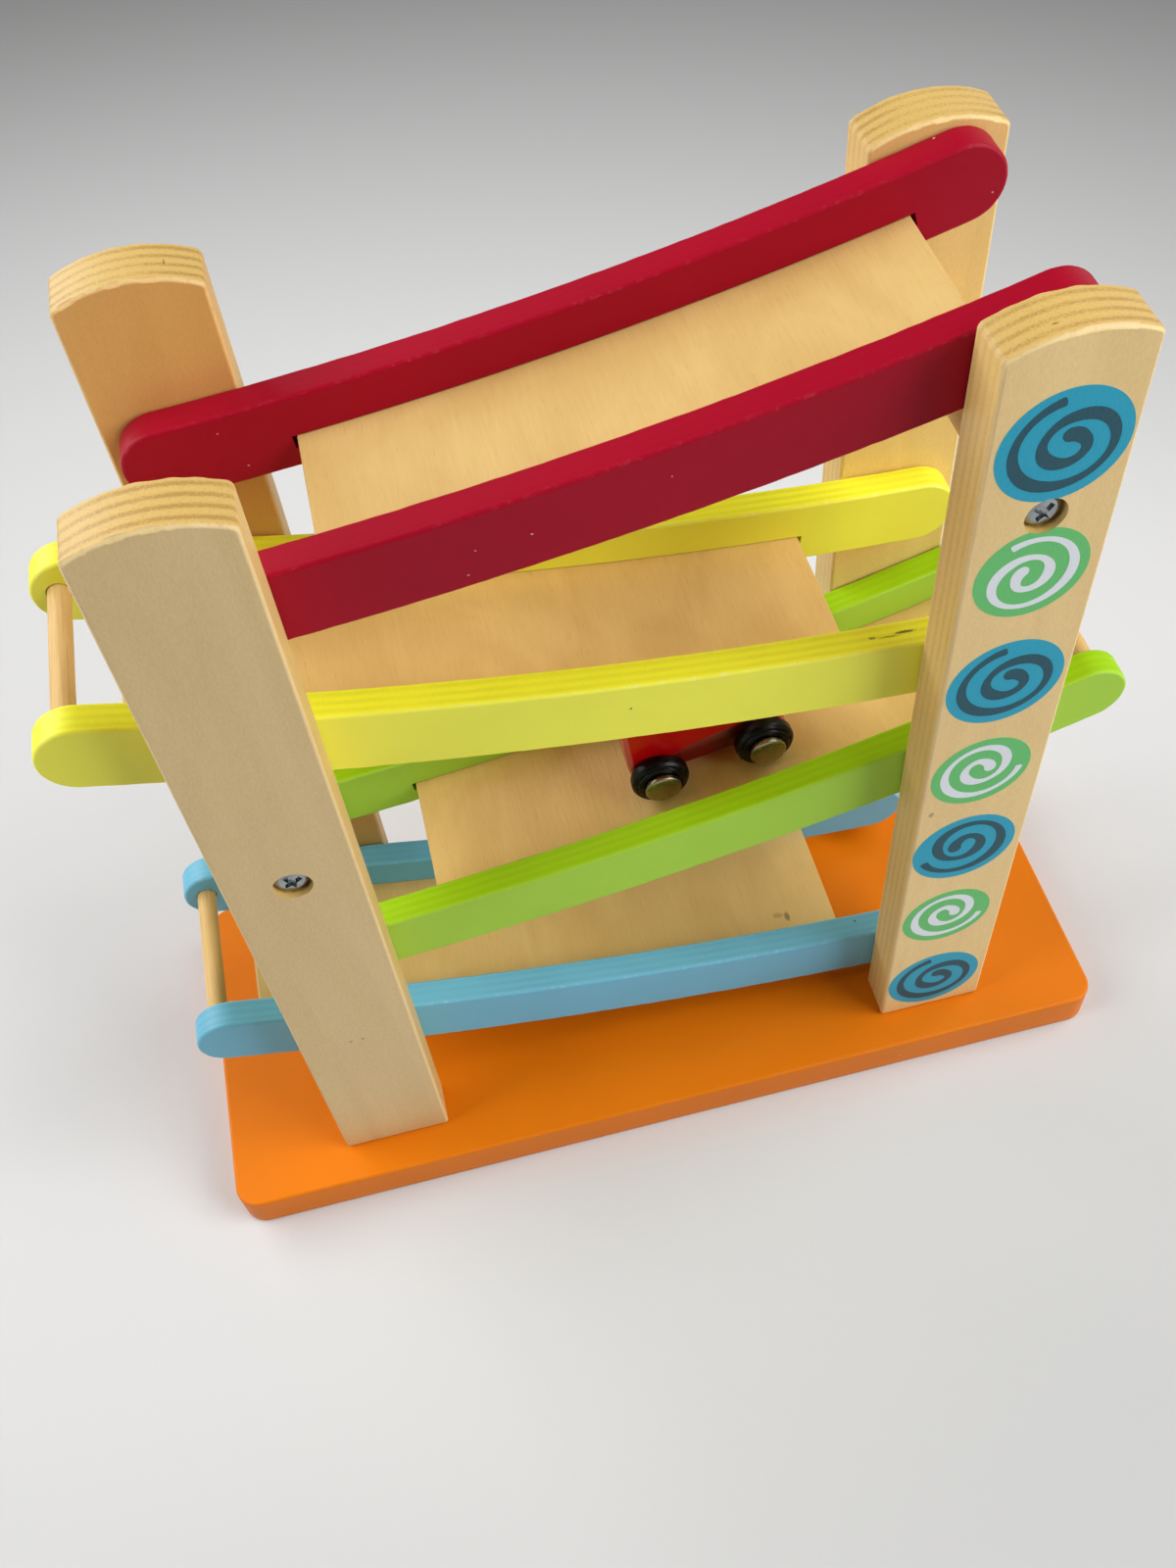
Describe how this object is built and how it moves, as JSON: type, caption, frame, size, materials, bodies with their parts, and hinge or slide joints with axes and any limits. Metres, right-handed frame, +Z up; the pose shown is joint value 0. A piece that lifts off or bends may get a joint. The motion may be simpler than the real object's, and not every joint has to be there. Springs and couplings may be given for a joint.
{
  "type": "car ramp racer",
  "caption": "Wooden zigzag ramp toy: curved coloured ramps hang between plywood posts on a base board, and a small car rolls down and drops from ramp to ramp.",
  "frame": {"origin": "on the table under the middle of the base board", "axes": "+X along the base board to the viewer's right, +Y away from the front, +Z up"},
  "size_m": [0.3, 0.1186, 0.297],
  "materials": {
    "orange_paint": "satin orange paint on plywood",
    "red_paint": "satin crimson paint on plywood",
    "yellow_paint": "satin yellow paint on plywood",
    "green_paint": "satin lime paint on plywood",
    "blue_paint": "satin sky blue paint on plywood",
    "post_wood": "clear satin varnish on plywood",
    "deck_wood": "clear satin varnish on thin plywood",
    "dowel_wood": "clear satin varnish on round hardwood",
    "car_paint": "gloss red paint",
    "black_wheel": "satin black",
    "zinc_steel": "zinc plated",
    "cap_metal": "polished nickel plate"
  },
  "bodies": {
    "frame": {"base_board": "orange_paint", "front_left_post": "post_wood", "front_right_post": "post_wood", "rear_left_post": "post_wood", "rear_right_post": "post_wood", "base_screw_front_left_a": "zinc_steel", "base_screw_front_left_b": "zinc_steel", "base_screw_front_right_a": "zinc_steel", "base_screw_front_right_b": "zinc_steel", "base_screw_rear_left_a": "zinc_steel", "base_screw_rear_left_b": "zinc_steel", "base_screw_rear_right_a": "zinc_steel", "base_screw_rear_right_b": "zinc_steel", "left_crossbar": "dowel_wood", "right_crossbar": "dowel_wood", "crossbar_screw_front_left": "zinc_steel", "crossbar_screw_front_right": "zinc_steel", "crossbar_screw_rear_left": "zinc_steel", "crossbar_screw_rear_right": "zinc_steel", "red_front_rail": "red_paint", "red_rear_rail": "red_paint", "red_deck": "deck_wood", "yellow_front_rail": "yellow_paint", "yellow_rear_rail": "yellow_paint", "yellow_deck": "deck_wood", "yellow_stop_dowel": "dowel_wood", "green_front_rail": "green_paint", "green_rear_rail": "green_paint", "green_deck": "deck_wood", "green_stop_dowel": "dowel_wood", "blue_front_rail": "blue_paint", "blue_rear_rail": "blue_paint", "blue_deck": "deck_wood", "blue_stop_dowel": "dowel_wood"},
    "car": {"car_body": "car_paint", "car_low_axle": "zinc_steel", "car_high_axle": "zinc_steel", "car_front_low_cap": "cap_metal", "car_front_high_cap": "cap_metal", "car_rear_low_cap": "cap_metal", "car_rear_high_cap": "cap_metal"},
    "front_low_wheel": {"car_front_low_wheel": "black_wheel"},
    "front_high_wheel": {"car_front_high_wheel": "black_wheel"},
    "rear_low_wheel": {"car_rear_low_wheel": "black_wheel"},
    "rear_high_wheel": {"car_rear_high_wheel": "black_wheel"}
  },
  "joints": [
    {"name": "car_roll", "type": "hinge", "parent": "frame", "child": "car", "pos_m": [-0.1709, 0.0034, 1.11649], "axis": [0, 1, 0], "range_deg": [-4.2, 3.8]},
    {"name": "front_low_wheel_spin", "type": "hinge", "parent": "car", "child": "front_low_wheel", "pos_m": [0.01074, -0.0105, 0.13058], "axis": [0, 1, 0], "continuous": true},
    {"name": "front_high_wheel_spin", "type": "hinge", "parent": "car", "child": "front_high_wheel", "pos_m": [0.04251, -0.0105, 0.13697], "axis": [0, 1, 0], "continuous": true},
    {"name": "rear_low_wheel_spin", "type": "hinge", "parent": "car", "child": "rear_low_wheel", "pos_m": [0.01074, 0.0173, 0.13058], "axis": [0, 1, 0], "continuous": true},
    {"name": "rear_high_wheel_spin", "type": "hinge", "parent": "car", "child": "rear_high_wheel", "pos_m": [0.04251, 0.0173, 0.13697], "axis": [0, 1, 0], "continuous": true}
  ],
  "couplings": [
    {"joint": "front_low_wheel_spin", "follows": "car_roll", "ratio": -114.95},
    {"joint": "front_high_wheel_spin", "follows": "car_roll", "ratio": -114.95},
    {"joint": "rear_low_wheel_spin", "follows": "car_roll", "ratio": -114.95},
    {"joint": "rear_high_wheel_spin", "follows": "car_roll", "ratio": -114.95}
  ]
}
